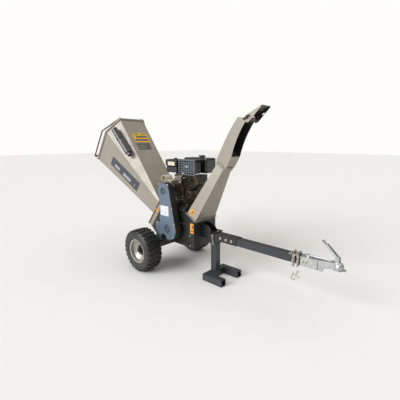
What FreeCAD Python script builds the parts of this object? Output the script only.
"""Towable drum wood chipper, one STEP file per sub-part.  Millimetres and degrees.

Model frame: +X is the towing direction, +Y is left, +Z is up and the ground is z = 0.
The pieces are drawn with the wheel axle at x = 0 and moved at the end, so that the
origin lies on the ground at the middle of the machine's length.
"""
import FreeCAD, Part
import math
import os

V = FreeCAD.Vector
Y_AXIS = V(0, 1, 0)

# ---------------------------------------------------------------- driving dimensions
# wheels and axle
TYRE_DIAMETER = 406.0
TYRE_WIDTH = 162.0
RIM_DIAMETER = 203.2
RIM_WIDTH = 137.0
TRACK = 704.0
STUB_DIAMETER = 25.0
AXLE_SECTION = 50.0
AXLE_WALL = 4.0
AXLE_BEAM_HALF = 262.0
RUNNING_GAP = 0.05
MOVING_GAP = 0.5

# rotor housing
HOUSING_HALF_WIDTH = 146.0
SIDE_PLATE = 6.0
HOUSING_BOTTOM = 270.0
HOUSING_FRONT = 492.0
HOUSING_HEEL_X = -20.0
DECK_TOP = 640.0
DECK_PLATE = 8.0
DECK_REAR = 46.0
DECK_FRONT = 410.0
DECK_LEFT = 215.0
SHEET = 2.5
LINER = 4.0

# rotor, shafts and belt drive
ROTOR_X = 240.0
ROTOR_Z = 430.0
ROTOR_RADIUS = 116.0
ROTOR_HALF_LENGTH = 132.0
KNIFE_STANDOUT = 5.0
KNIFE_TIP_RADIUS = ROTOR_RADIUS + KNIFE_STANDOUT
SHAFT_DIAMETER = 35.0
CRANK_X = 197.0
CRANK_Z = 780.0
CRANK_DIAMETER = 25.4
CRANK_PULLEY_RADIUS = 40.0
ROTOR_PULLEY_RADIUS = 62.0
PULLEY_WIDTH = 40.0
BELT_TOP = 17.0
BELT_HEIGHT = 10.0
BELT_PITCH = 20.0
GUARD_INNER = 180.0
GUARD_OUTER = 245.0
GUARD_SHEET = 3.0
GUARD_TOP_RADIUS = 78.0
GUARD_BOTTOM_RADIUS = 106.0

# infeed: a frame that leans back, its own X runs up the mouth plane and its Z out of the mouth
INFEED_X = -159.0
INFEED_Z = 393.0
INFEED_LEAN = 53.5
COLLAR_DEPTH = 50.0
COLLAR_HEIGHT = 308.0
THROAT_LOW = 140.0
THROAT_HALF_WIDTH = 143.0
GASKET = 3.0
HOPPER_LENGTH = 995.0
MOUTH_LOW = 65.0
MOUTH_HIGH = 591.0
MOUTH_CHAMFER = 165.0
MOUTH_TOP_HALF = 147.0
MOUTH_HALF_WIDTH = 260.0
RIM_BEAD = 11.0
STOP_BAR_RADIUS = 7.0
STOP_BAR_STANDOFF = 46.0

# outlet and discharge chute: a frame whose Z runs up the chute
OUTLET_X = 446.0
OUTLET_Z = 551.0
OUTLET_LEAN = 30.0
OUTLET_HALF_DEPTH = 71.0
CHUTE_FLANGE = 6.0
CHUTE_LENGTH = 540.0
CHUTE_TOP_HALF_DEPTH = 40.0
CHUTE_TOP_HALF_WIDTH = 58.0
SWIVEL_RADIUS = 76.0
SWIVEL_BORE = 60.0
SPOUT_HALF = 60.0
SPOUT_COLLAR = 106.0
SPOUT_CURVE = 330.0
SPOUT_BEND_RADIUS = 960.0
FLAP_LENGTH = 148.0
FLAP_RISE = 15.0
FLAP_ANGLE = 64.0

# stand and tow bar
BAR_SECTION = 60.0
BAR_WALL = 4.0
BAR_BOTTOM = 358.0
BAR_END = 1490.0
POST_X = 620.0
SLEEVE_WALL = 4.0
SLEEVE_BOTTOM = 311.0
SLEEVE_TOP = 420.0
RECEIVER_FRONT = 877.0
STAND_PIN_Z = 396.0
STAND_PIN_RADIUS = 6.0
FOOT_LENGTH = 217.0
FOOT_HALF_WIDTH = 145.0
TOW_BOLT_X = (707.0, 770.0, 828.0)

# coupling
COUPLING_LENGTH = 202.0
BALL_RISE = 46.0
LEVER_RISE = 56.0
LEVER_SETBACK = 8.0
BALL_X = BAR_END + COUPLING_LENGTH
BALL_Z = BAR_BOTTOM + BALL_RISE
LEVER_X = BALL_X - LEVER_SETBACK
LEVER_Z = BALL_Z + LEVER_RISE
BALL_DIAMETER = 50.0
SOCKET_WALL = 8.0
LEVER_LENGTH = 138.0
LEVER_REST = 44.0

# engine
ENGINE_SUMP_TOP = 700.0
SHROUD_RADIUS = 112.0
TANK_TOP = 1072.0
TANK_BOTTOM = 930.0
GUARD_GRILLE_Y = -75.0

# ---------------------------------------------------------------- shape helpers


def box(x0, x1, y0, y1, z0, z1):
    return Part.makeBox(x1 - x0, y1 - y0, z1 - z0, V(x0, y0, z0))


def cyl_y(x, z, radius, y0, y1):
    return Part.makeCylinder(radius, y1 - y0, V(x, y0, z), Y_AXIS)


def cyl_x(y, z, radius, x0, x1):
    return Part.makeCylinder(radius, x1 - x0, V(x0, y, z), V(1, 0, 0))


def cyl_z(x, y, radius, z0, z1):
    return Part.makeCylinder(radius, z1 - z0, V(x, y, z0), V(0, 0, 1))


def rod(start, end, radius):
    a = V(*start)
    b = V(*end)
    return Part.makeCylinder(radius, (b - a).Length, a, b - a)


def round_bar(points, radius, closed=False):
    """A round bar bent through the points, with a ball at each bend."""
    ends = points[1:] + points[:1] if closed else points[1:]
    pieces = [rod(a, b, radius) for a, b in zip(points, ends)]
    bends = points if closed else points[1:-1]
    pieces += [Part.makeSphere(radius, V(*p)) for p in bends]
    return fuse(pieces)


def plate_xz(points, y0, y1):
    """A flat plate: an outline of (x, z) points, from y0 to y1."""
    corners = [V(x, y0, z) for x, z in points]
    wire = Part.makePolygon(corners + corners[:1])
    return Part.Face(wire).extrude(V(0, y1 - y0, 0))


def strip_xz(points, thickness, y0, y1):
    """Sheet bent along (x, z) points, its thickness on the left of the path."""
    pieces = []
    for (xa, za), (xb, zb) in zip(points, points[1:]):
        length = math.hypot(xb - xa, zb - za)
        nx = -(zb - za) / length * thickness
        nz = (xb - xa) / length * thickness
        pieces.append(plate_xz([(xa, za), (xb, zb), (xb + nx, zb + nz), (xa + nx, za + nz)], y0, y1))
    return fuse(pieces)


def polygon_at(points, z):
    corners = [V(x, y, z) for x, y in points]
    return Part.makePolygon(corners + corners[:1])


def loft(lower, z0, upper, z1):
    return Part.makeLoft([polygon_at(lower, z0), polygon_at(upper, z1)], True, True)


def spin_y(profile, x, z):
    """A turned piece: a closed outline of (radius, y) points turned about a Y axis."""
    corners = [V(x + r, y, z) for r, y in profile]
    face = Part.Face(Part.makePolygon(corners + corners[:1]))
    return face.revolve(V(x, 0, z), Y_AXIS, 360)


def fuse(shapes):
    result = shapes[0]
    if len(shapes) > 1:
        result = shapes[0].fuse(shapes[1:])
    return result.removeSplitter()


def group(shapes):
    return Part.makeCompound(shapes)


def cut(shape, *tools):
    for tool in tools:
        shape = shape.cut(tool)
    return shape


def mirror_y(shape):
    return shape.mirror(V(0, 0, 0), Y_AXIS)


def in_frame(shape, x, z, lean):
    """Move a shape from a leaning local frame into the model frame."""
    placed = shape.copy()
    placed.rotate(V(0, 0, 0), Y_AXIS, lean)
    placed.translate(V(x, 0, z))
    return placed


def infeed(shape):
    return in_frame(shape, INFEED_X, INFEED_Z, -INFEED_LEAN)


def outlet(shape):
    return in_frame(shape, OUTLET_X, OUTLET_Z, OUTLET_LEAN)


def frame_point(u, w, x, z, lean):
    """(x, z) of a point (u, w) of a leaning frame."""
    a = math.radians(lean)
    return (x + u * math.cos(a) + w * math.sin(a), z - u * math.sin(a) + w * math.cos(a))


def infeed_point(u, w):
    return frame_point(u, w, INFEED_X, INFEED_Z, -INFEED_LEAN)


def outlet_point(u, w):
    return frame_point(u, w, OUTLET_X, OUTLET_Z, OUTLET_LEAN)


def hexagon(radius, thickness, base, direction):
    """A hexagon bolt head or nut, standing on base along direction."""
    points = [V(radius * math.cos(math.radians(60 * i)), radius * math.sin(math.radians(60 * i)), 0)
              for i in range(6)]
    head = Part.Face(Part.makePolygon(points + points[:1])).extrude(V(0, 0, thickness))
    head.Placement = FreeCAD.Placement(V(*base), FreeCAD.Rotation(V(0, 0, 1), V(*direction)))
    return head


# ---------------------------------------------------------------- wheels and axle
AXLE_Z = TYRE_DIAMETER / 2
WHEEL_Y = TRACK / 2
HUB_RADIUS = 24.0
HUB_FLANGE_RADIUS = 48.0
BEAD_RADIUS = RIM_DIAMETER / 2


def tyre(side):
    outer = TYRE_DIAMETER / 2
    half = TYRE_WIDTH / 2
    seat = RIM_WIDTH / 2 - 4.0
    wall = 9.0
    outside = [(BEAD_RADIUS, -seat), (BEAD_RADIUS + 14, -seat), (BEAD_RADIUS + 27, -half + 5), (outer - 55, -half),
               (outer - 22, -half + 3), (outer - 8, -half + 14), (outer - 1.5, -half + 36), (outer, 0)]
    inside = [(outer - wall, 0), (outer - wall - 2, -half + 36), (outer - 30, -half + 14), (outer - 56, -half + wall),
              (BEAD_RADIUS + 26, -half + wall + 8), (BEAD_RADIUS + 12, -seat + 14), (BEAD_RADIUS, -seat + 14)]
    left_out = [(r, -y) for r, y in reversed(outside[:-1])]
    left_in = [(r, -y) for r, y in reversed(inside[1:])]
    profile = outside + left_out + left_in + [inside[0]] + inside[1:]
    return spin_y(profile, 0, AXLE_Z).translated(V(0, side * WHEEL_Y, 0))


def rim(side):
    """Two-piece pressed rim: a drop-centre barrel and a dished disc."""
    half = RIM_WIDTH / 2
    lip = BEAD_RADIUS + 12
    drop = BEAD_RADIUS - 14
    sheet = 3.0
    outer_line = [(lip, -half), (BEAD_RADIUS, -half + sheet), (BEAD_RADIUS - 0.1, -half + 28), (drop, -half + 40),
                  (drop, half - 40), (BEAD_RADIUS - 0.1, half - 28), (BEAD_RADIUS, half - sheet), (lip, half)]
    inner_line = [(lip, half + sheet), (BEAD_RADIUS - sheet, half), (BEAD_RADIUS - sheet, half - 27),
                  (drop - sheet, half - 38), (drop - sheet, -half + 38), (BEAD_RADIUS - sheet, -half + 27),
                  (BEAD_RADIUS - sheet, -half), (lip, -half - sheet)]
    barrel = spin_y(outer_line + inner_line, 0, AXLE_Z)
    disc_y = 12.0
    disc = spin_y([(HUB_RADIUS, disc_y), (60, disc_y), (drop - sheet, disc_y + 14), (drop - sheet, disc_y + 18),
                   (58, disc_y + 4), (HUB_RADIUS, disc_y + 4)], 0, AXLE_Z)
    wheel = fuse([barrel, disc])
    if side < 0:
        wheel = mirror_y(wheel)
    return wheel.translated(V(0, side * WHEEL_Y, 0))


def hub(side):
    """Hub tube with its flange, four wheel bolts and a grease cap collar."""
    bore = STUB_DIAMETER / 2 + RUNNING_GAP
    inner_end = AXLE_BEAM_HALF + 24 + MOVING_GAP
    outer_end = WHEEL_Y + 42
    disc_face = WHEEL_Y + 16
    tube = cyl_y(0, AXLE_Z, HUB_RADIUS, inner_end, outer_end)
    flange = cyl_y(0, AXLE_Z, HUB_FLANGE_RADIUS, disc_face, disc_face + 6)
    bolts = []
    for i in range(4):
        a = math.radians(45 + 90 * i)
        bolts.append(hexagon(8, 7, (36 * math.cos(a), disc_face + 6, AXLE_Z + 36 * math.sin(a)), (0, 1, 0)))
    piece = cut(fuse([tube, flange] + bolts), cyl_y(0, AXLE_Z, bore, inner_end - 1, outer_end + 1))
    return piece if side > 0 else mirror_y(piece)


def axle_beam():
    """Square axle tube, its two stub shafts, shoulders, end nuts and the saddle plates to the housing."""
    half = AXLE_SECTION / 2
    beam = box(-half, half, -AXLE_BEAM_HALF, AXLE_BEAM_HALF, AXLE_Z - half, AXLE_Z + half)
    inner = half - AXLE_WALL
    beam = cut(beam, box(-inner, inner, -AXLE_BEAM_HALF + 30, AXLE_BEAM_HALF - 30, AXLE_Z - inner, AXLE_Z + inner))
    nut_face = WHEEL_Y + 42 + MOVING_GAP
    pieces = [beam]
    for side in (-1, 1):
        stub = cyl_y(0, AXLE_Z, STUB_DIAMETER / 2, AXLE_BEAM_HALF - 1, nut_face + 14)
        shoulder = cyl_y(0, AXLE_Z, 20, AXLE_BEAM_HALF - 1, AXLE_BEAM_HALF + 24)
        washer = cyl_y(0, AXLE_Z, 21, nut_face, nut_face + 3)
        nut = hexagon(20, 9, (0, nut_face + 3, AXLE_Z), (0, 1, 0))
        end = fuse([stub, shoulder, washer, nut])
        pieces.append(end if side > 0 else mirror_y(end))
    for y in (-HOUSING_HALF_WIDTH + 6, HOUSING_HALF_WIDTH - 16):
        pieces.append(plate_xz([(-half, AXLE_Z + half - 1), (half, AXLE_Z + half - 1), (70, HOUSING_BOTTOM),
                                (HOUSING_HEEL_X, HOUSING_BOTTOM)], y, y + 10))
    return fuse(pieces)


# ---------------------------------------------------------------- rotor housing
COLLAR_FOOT = infeed_point(0, -COLLAR_DEPTH)
COLLAR_HEAD = infeed_point(COLLAR_HEIGHT, -COLLAR_DEPTH)
OUTLET_REAR = outlet_point(-OUTLET_HALF_DEPTH, 0)
OUTLET_FRONT_Z = OUTLET_Z - (HOUSING_FRONT - OUTLET_X) * math.tan(math.radians(OUTLET_LEAN))
INNER_Y = HOUSING_HALF_WIDTH - SIDE_PLATE
UNDER_DECK = DECK_TOP - DECK_PLATE
BOLT_RADIUS = 5.0
SIDE_BOLTS = ((315, 483), (362, 482), (443, 380), (441, 286), (355, 345), (60, 300), (0, 330), (100, 600),
              (318, 610), (360, 610))
BEARING_HALF = 58.0
BEARING_BOLT = 44.0
BEARING_THICK = 34.0


def side_plate(side):
    outline = [COLLAR_FOOT, (HOUSING_HEEL_X, HOUSING_BOTTOM), (HOUSING_FRONT, HOUSING_BOTTOM),
               (HOUSING_FRONT, OUTLET_FRONT_Z), OUTLET_REAR, (OUTLET_REAR[0], UNDER_DECK),
               (COLLAR_HEAD[0] + 20, UNDER_DECK), COLLAR_HEAD]
    plate = plate_xz(outline, INNER_Y, HOUSING_HALF_WIDTH)
    holes = [cyl_y(ROTOR_X, ROTOR_Z, SHAFT_DIAMETER / 2 + 4, INNER_Y - 1, HOUSING_HALF_WIDTH + 1)]
    for x, z in SIDE_BOLTS:
        holes.append(cyl_y(x, z, BOLT_RADIUS + 0.2, INNER_Y - 1, HOUSING_HALF_WIDTH + 1))
    for dx in (-BEARING_BOLT, BEARING_BOLT):
        for dz in (-BEARING_BOLT, BEARING_BOLT):
            holes.append(cyl_y(ROTOR_X + dx, ROTOR_Z + dz, 6.2, INNER_Y - 1, HOUSING_HALF_WIDTH + 1))
    plate = cut(plate, *holes)
    return plate if side > 0 else mirror_y(plate)


def housing_bolts():
    """Bolts through both side plates: head outside, shank in the plate."""
    bolts = []
    for x, z in SIDE_BOLTS:
        head = hexagon(9, 6, (x, HOUSING_HALF_WIDTH, z), (0, 1, 0))
        shank = cyl_y(x, z, BOLT_RADIUS, INNER_Y, HOUSING_HALF_WIDTH + 1)
        bolt = fuse([head, shank])
        bolts += [bolt, mirror_y(bolt)]
    return group(bolts)


def casing_shell():
    """Front, bottom and heel plates between the side plates, and the wall behind the outlet."""
    front = plate_xz([(HOUSING_FRONT - SIDE_PLATE, HOUSING_BOTTOM), (HOUSING_FRONT, HOUSING_BOTTOM),
                      (HOUSING_FRONT, OUTLET_FRONT_Z),
                      (HOUSING_FRONT - SIDE_PLATE, OUTLET_FRONT_Z + SIDE_PLATE * math.tan(math.radians(OUTLET_LEAN)))],
                     -INNER_Y, INNER_Y)
    bottom = box(HOUSING_HEEL_X, HOUSING_FRONT - 1, -INNER_Y, INNER_Y, HOUSING_BOTTOM, HOUSING_BOTTOM + SIDE_PLATE)
    heel = strip_xz([(HOUSING_HEEL_X, HOUSING_BOTTOM), COLLAR_FOOT], -SIDE_PLATE, -INNER_Y, INNER_Y)
    inside_heel = plate_xz([COLLAR_FOOT, (HOUSING_HEEL_X, HOUSING_BOTTOM), (HOUSING_FRONT, HOUSING_BOTTOM),
                            (HOUSING_FRONT, UNDER_DECK), COLLAR_HEAD], -INNER_Y, INNER_Y)
    heel = heel.common(inside_heel)
    wall = box(OUTLET_REAR[0] - SIDE_PLATE, OUTLET_REAR[0], -INNER_Y, INNER_Y, OUTLET_REAR[1], UNDER_DECK)
    return group([fuse([front, bottom, heel]), wall])


ANVIL_TIP = (118.0, 398.0)
ANVIL_LENGTH = 52.0
FEED_FLOOR = infeed_point(THROAT_LOW - 6, -COLLAR_DEPTH)
SCROLL_RADIUS = KNIFE_TIP_RADIUS + 13.0


def feed_direction():
    length = math.hypot(ANVIL_TIP[0] - FEED_FLOOR[0], ANVIL_TIP[1] - FEED_FLOOR[1])
    return ((ANVIL_TIP[0] - FEED_FLOOR[0]) / length, (ANVIL_TIP[1] - FEED_FLOOR[1]) / length)


def anvil_blade():
    """Replaceable counter-knife bar at the end of the feed floor."""
    dx, dz = feed_direction()
    start = (ANVIL_TIP[0] - dx * ANVIL_LENGTH, ANVIL_TIP[1] - dz * ANVIL_LENGTH)
    return strip_xz([start, ANVIL_TIP], -12.0, -INNER_Y + 2, INNER_Y - 2)


def rotor_scroll():
    """Feed floor, curved sheet under the rotor, ramp to the outlet and the roof."""
    y = INNER_Y
    dx, dz = feed_direction()
    floor_end = (ANVIL_TIP[0] - dx * ANVIL_LENGTH, ANVIL_TIP[1] - dz * ANVIL_LENGTH)
    floor = strip_xz([FEED_FLOOR, floor_end], -LINER, -y, y)
    ring = cut(cyl_y(ROTOR_X, ROTOR_Z, SCROLL_RADIUS + LINER, -y, y),
               cyl_y(ROTOR_X, ROTOR_Z, SCROLL_RADIUS, -y - 1, y + 1))
    keep = plate_xz([(ROTOR_X, ROTOR_Z), (ROTOR_X - 190, ROTOR_Z - 90), (ROTOR_X - 190, ROTOR_Z - 190),
                     (ROTOR_X + 190, ROTOR_Z - 190), (ROTOR_X + 190, ROTOR_Z)], -y, y)
    arc = ring.common(keep)
    ramp = strip_xz([(ROTOR_X + SCROLL_RADIUS + LINER, ROTOR_Z - 5),
                     (HOUSING_FRONT - SIDE_PLATE, OUTLET_FRONT_Z - 12)], LINER, -y, y)
    roof_start = infeed_point(COLLAR_HEIGHT - 6, -COLLAR_DEPTH - LINER)
    roof = strip_xz([roof_start, (ROTOR_X - 12, ROTOR_Z + SCROLL_RADIUS - 2), (ROTOR_X + 60, ROTOR_Z + SCROLL_RADIUS - 4),
                     (OUTLET_REAR[0] - SIDE_PLATE, OUTLET_REAR[1] - 6)], LINER, -y, y)
    return group([floor, fuse([arc, ramp]), roof])


def engine_deck():
    deck = box(DECK_REAR, DECK_FRONT, -HOUSING_HALF_WIDTH - 4, DECK_LEFT, UNDER_DECK, DECK_TOP)
    bolt_holes = [cyl_z(x, y, 5.2, UNDER_DECK - 1, DECK_TOP + 1) for x in (130, 300) for y in (-70, 85)]
    return cut(deck, *bolt_holes)


def infeed_collar():
    """Box frame that carries the hopper on the housing; its lower half is a hollow apron."""
    top = COLLAR_HEIGHT + 4
    side = HOUSING_HALF_WIDTH + 4
    shell = box(0, top, -side, side, -COLLAR_DEPTH, 0)
    bore = box(THROAT_LOW, COLLAR_HEIGHT - 4, -THROAT_HALF_WIDTH, THROAT_HALF_WIDTH, -COLLAR_DEPTH - 1, 1)
    apron = box(4, THROAT_LOW - 6, -side + 4, side - 4, -COLLAR_DEPTH - 1, -4)
    return infeed(cut(shell, bore, apron))


def flange_gasket():
    frame = box(-6, COLLAR_HEIGHT + 12, -HOUSING_HALF_WIDTH - 12, HOUSING_HALF_WIDTH + 12, 0, GASKET)
    bore = box(THROAT_LOW, COLLAR_HEIGHT - 4, -THROAT_HALF_WIDTH, THROAT_HALF_WIDTH, -1, GASKET + 1)
    return infeed(cut(frame, bore))


# ---------------------------------------------------------------- hopper


def hopper_outline(low, high, chamfer, top_half, half, inset):
    side = half - inset
    corner = high - chamfer
    return [(low + inset, -side), (corner - inset * 0.4, -side), (high - inset, -top_half + inset * 0.5),
            (high - inset, top_half - inset * 0.5), (corner - inset * 0.4, side), (low + inset, side)]


def throat_outline(inset):
    return hopper_outline(THROAT_LOW, COLLAR_HEIGHT - 4, 17, THROAT_HALF_WIDTH - 4, THROAT_HALF_WIDTH, inset)


def mouth_outline(inset):
    return hopper_outline(MOUTH_LOW, MOUTH_HIGH, MOUTH_CHAMFER, MOUTH_TOP_HALF, MOUTH_HALF_WIDTH, inset)


def hopper_outside():
    return loft(throat_outline(-SHEET), GASKET, mouth_outline(0), HOPPER_LENGTH)


def hopper_local():
    """Six-sided sheet funnel on its bolting flange."""
    outside = cut(hopper_outside(), box(-100, 800, -400, 400, HOPPER_LENGTH - RIM_BEAD, HOPPER_LENGTH + 10))
    inside = loft(throat_outline(0), GASKET, mouth_outline(SHEET), HOPPER_LENGTH)
    flange = box(-4, COLLAR_HEIGHT + 10, -HOUSING_HALF_WIDTH - 10, HOUSING_HALF_WIDTH + 10, GASKET, GASKET + 5)
    return cut(fuse([outside, flange]), inside)


STOP_PIVOT_U = MOUTH_HIGH - 12.0
STOP_PIVOT_W = HOPPER_LENGTH + 21.0
STOP_PIN_RADIUS = 5.0
LUG_Y = MOUTH_TOP_HALF - 12.0
LUG_HALF = 4.0


def rim_local():
    """Rolled bead round the mouth with the two lugs that carry the stop bar."""
    low = HOPPER_LENGTH - RIM_BEAD
    outer = Part.Face(polygon_at(mouth_outline(-RIM_BEAD), low)).extrude(V(0, 0, 2 * RIM_BEAD))
    inner = Part.Face(polygon_at(mouth_outline(SHEET + 2), low - 1)).extrude(V(0, 0, 2 * RIM_BEAD + 2))
    ends = [edge for edge in outer.Edges if abs(edge.Vertexes[0].Z - edge.Vertexes[-1].Z) < 1]
    bead = outer.makeFillet(RIM_BEAD * 0.7, ends).cut(inner)
    lugs = []
    for side in (-1, 1):
        y = side * LUG_Y
        lug = box(STOP_PIVOT_U - 10, MOUTH_HIGH + 8, y - LUG_HALF, y + LUG_HALF, HOPPER_LENGTH, STOP_PIVOT_W + 10)
        bore = Part.makeCylinder(STOP_PIN_RADIUS + RUNNING_GAP, 4 * LUG_HALF,
                                 V(STOP_PIVOT_U, y - 2 * LUG_HALF, STOP_PIVOT_W), Y_AXIS)
        lugs.append(cut(lug, bore))
    return fuse([bead] + lugs)


def hopper_shell():
    return infeed(hopper_local())


def hopper_rim():
    return infeed(rim_local())


def stop_bar():
    """Emergency stop bar round the mouth; it swings on two pins at the top corners."""
    w = HOPPER_LENGTH + STOP_BAR_STANDOFF
    u = STOP_PIVOT_U
    y_arm = LUG_Y + LUG_HALF + STOP_BAR_RADIUS + MOVING_GAP
    y_side = MOUTH_HALF_WIDTH + 18
    prong_root = (MOUTH_LOW + 3, -y_side, w)
    near = [(u, -y_arm, STOP_PIVOT_W), (MOUTH_HIGH - MOUTH_CHAMFER - 22, -y_side, w), prong_root,
            (MOUTH_LOW - 8, -MOUTH_HALF_WIDTH, HOPPER_LENGTH + 34)]
    bar = round_bar(near, STOP_BAR_RADIUS)
    pin = rod((u, -LUG_Y + LUG_HALF + 2, STOP_PIVOT_W), (u, -y_arm, STOP_PIVOT_W), STOP_PIN_RADIUS)
    end = Part.makeSphere(STOP_BAR_RADIUS, V(u, -y_arm, STOP_PIVOT_W))
    side = fuse([bar, pin, end])
    bridge = rod(prong_root, (prong_root[0], y_side, w), STOP_BAR_RADIUS)
    return infeed(fuse([side, mirror_y(side), bridge]))


TUBE_RADIUS = 32.0
TUBE_START = 606.0
TUBE_END = 785.0
CAP_LENGTH = 133.0


def tube_axis_point(w):
    """Centre of the document tube above the middle of the near chamfer."""
    t = w / HOPPER_LENGTH
    u = (1 - t) * (COLLAR_HEIGHT - 12) + t * (MOUTH_HIGH - MOUTH_CHAMFER / 2)
    y = -((1 - t) * (THROAT_HALF_WIDTH - 2) + t * (MOUTH_TOP_HALF + MOUTH_HALF_WIDTH) / 2)
    run = math.hypot(MOUTH_CHAMFER, MOUTH_HALF_WIDTH - MOUTH_TOP_HALF)
    off = TUBE_RADIUS + 6
    return V(u + off * (MOUTH_HALF_WIDTH - MOUTH_TOP_HALF) / run, y - off * MOUTH_CHAMFER / run, w)


def tube_piece(w0, w1, radius, bore=0.0):
    a = tube_axis_point(w0)
    b = tube_axis_point(w1)
    piece = Part.makeCylinder(radius, (b - a).Length, a, b - a)
    if bore:
        piece = cut(piece, Part.makeCylinder(bore, (b - a).Length, a, b - a))
    return piece


def manual_tube():
    """Hollow document tube with a closed lower end, a hanging tab and two saddle blocks."""
    body = tube_piece(TUBE_START, TUBE_END, TUBE_RADIUS)
    cavity = tube_piece(TUBE_START + 6, TUBE_END + 1, TUBE_RADIUS - 3)
    tab = cut(tube_piece(TUBE_START - 34, TUBE_START + 1, TUBE_RADIUS * 0.7),
              tube_piece(TUBE_START - 38, TUBE_START - 6, TUBE_RADIUS * 0.35))
    inward = V(MOUTH_TOP_HALF - MOUTH_HALF_WIDTH, MOUTH_CHAMFER, 0).normalize()
    saddles = [Part.makeCylinder(12, TUBE_RADIUS + 8, tube_axis_point(w), inward)
               for w in (TUBE_START + 50, TUBE_END - 60)]
    return infeed(cut(fuse([body, tab] + saddles), cavity, hopper_outside()))


def tube_cap():
    """Screw cap of the document tube, with a grip band."""
    skirt = tube_piece(TUBE_END + 0.6, TUBE_END + CAP_LENGTH, TUBE_RADIUS)
    band = tube_piece(TUBE_END + 0.6, TUBE_END + 14, TUBE_RADIUS + 4)
    hollow = tube_piece(TUBE_END, TUBE_END + CAP_LENGTH - 5, TUBE_RADIUS - 4)
    return infeed(cut(fuse([skirt, band]), hollow))


# ---------------------------------------------------------------- discharge chute


def rectangle(half_x, half_y):
    return [(-half_x, -half_y), (half_x, -half_y), (half_x, half_y), (-half_x, half_y)]


def ring_plates(inner, outer, z0, inner_top, outer_top, z1):
    """Four mitred plates that make a rectangular tube or frame; sizes are (half depth, half width)."""
    plates = []
    for axis in (0, 1):
        for sign in (-1, 1):
            outlines = []
            for (ix, iy), (ox, oy) in ((inner, outer), (inner_top, outer_top)):
                if axis == 0:
                    outlines.append([(sign * ix, -iy), (sign * ox, -oy), (sign * ox, oy), (sign * ix, iy)])
                else:
                    outlines.append([(-ix, sign * iy), (-ox, sign * oy), (ox, sign * oy), (ix, sign * iy)])
            plates.append(loft(outlines[0], z0, outlines[1], z1))
    return plates


SWIVEL_PLATE = 12.0


def lower_chute():
    """Tapered sheet chute welded from plates, with its bolting flange and the fixed swivel ring."""
    base = (OUTLET_HALF_DEPTH - 11, HOUSING_HALF_WIDTH - 10)
    top = (CHUTE_TOP_HALF_DEPTH, CHUTE_TOP_HALF_WIDTH)
    t = CHUTE_FLANGE / CHUTE_LENGTH
    foot = tuple(b + (a - b) * t for a, b in zip(top, base))
    within = [tuple(v - SHEET for v in size) for size in (base, foot, top)]
    flange = ring_plates(within[0], (OUTLET_HALF_DEPTH, HOUSING_HALF_WIDTH), 0,
                         within[0], (OUTLET_HALF_DEPTH, HOUSING_HALF_WIDTH), CHUTE_FLANGE)
    walls = ring_plates(within[1], foot, CHUTE_FLANGE, within[2], top, CHUTE_LENGTH)
    disc = Part.makeCylinder(SWIVEL_RADIUS, SWIVEL_PLATE, V(0, 0, CHUTE_LENGTH))
    far = tuple(3 * v for v in within[2])
    sectors = ring_plates(within[2], far, CHUTE_LENGTH - 1, within[2], far, CHUTE_LENGTH + SWIVEL_PLATE + 1)
    ring = [disc.common(sector) for sector in sectors]
    return outlet(group(flange + walls + ring))


SPOUT_BASE = CHUTE_LENGTH + SWIVEL_PLATE + MOVING_GAP
SPOUT_RING = 12.0
SPOUT_KINK = SPOUT_BASE + SPOUT_RING + SPOUT_COLLAR
SPOUT_REAR_TOP = -20.0
PIVOT_U = 34.0
PIVOT_W = SPOUT_KINK + SPOUT_CURVE
PIVOT_BOLT = 5.0


def arc_points(u0, w0, u1, w1, sagitta, steps=6):
    """Points on a shallow arc between two points, bulging towards -u."""
    points = []
    for i in range(steps + 1):
        t = i / steps
        bulge = 4 * sagitta * t * (1 - t)
        points.append((u0 + (u1 - u0) * t - bulge, w0 + (w1 - w0) * t))
    return points


def spout_side_outline():
    sagitta = SPOUT_CURVE ** 2 / (8 * SPOUT_BEND_RADIUS)
    front = arc_points(SPOUT_HALF, SPOUT_KINK, PIVOT_U + 4, PIVOT_W - 26, sagitta)
    rear = arc_points(SPOUT_REAR_TOP - 22, PIVOT_W - 36, -SPOUT_HALF, SPOUT_KINK, 0.6 * sagitta)
    return front, rear


def spout_local():
    """Rotating ring, square collar, and a channel that curves over and is open at the front."""
    front, rear = spout_side_outline()
    half = SPOUT_HALF
    base = SPOUT_BASE + SPOUT_RING
    ring = cut(Part.makeCylinder(SWIVEL_RADIUS, SPOUT_RING, V(0, 0, SPOUT_BASE)),
               Part.makeCylinder(SWIVEL_BORE, SPOUT_RING + 2, V(0, 0, SPOUT_BASE - 1)))
    neck = cut(Part.makeCylinder(SWIVEL_RADIUS - 6, 6, V(0, 0, base - 1)),
               Part.makeCylinder(SWIVEL_BORE, 8, V(0, 0, base - 2)))
    collar = cut(box(-half, half, -half, half, base, SPOUT_KINK),
                 box(-half + SHEET, half - SHEET, -half + SHEET, half - SHEET, base + 4, SPOUT_KINK + 1),
                 Part.makeCylinder(SWIVEL_BORE, 8, V(0, 0, base - 2)))
    tab = Part.makeCylinder(13, 2 * half, V(PIVOT_U, -half, PIVOT_W), Y_AXIS)
    outline = front + [(PIVOT_U + 12, PIVOT_W - 6), (PIVOT_U - 12, PIVOT_W - 9)] + rear
    beyond = PIVOT_W + 60
    hollow = [(rear[0][0] + SHEET, beyond)] + [(u + SHEET, w) for u, w in rear] + [(200, SPOUT_KINK), (200, beyond)]
    channel = cut(plate_xz(outline, -half, half).fuse(tab), plate_xz(hollow, -half + SHEET, half - SHEET))
    body = fuse([ring, neck, collar, channel])
    hole = Part.makeCylinder(PIVOT_BOLT + 0.2, 4 * half, V(PIVOT_U, -2 * half, PIVOT_W), Y_AXIS)
    return cut(body, hole)


def upper_chute():
    return outlet(spout_local())


def flap_place(shape):
    """From the flap's frame (X along the flap, Z above it) to the model frame, at the pivot."""
    x, z = outlet_point(PIVOT_U, PIVOT_W)
    return in_frame(shape, x, z, FLAP_ANGLE - 90)


FLAP_INNER = SPOUT_HALF + 1.0


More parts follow.
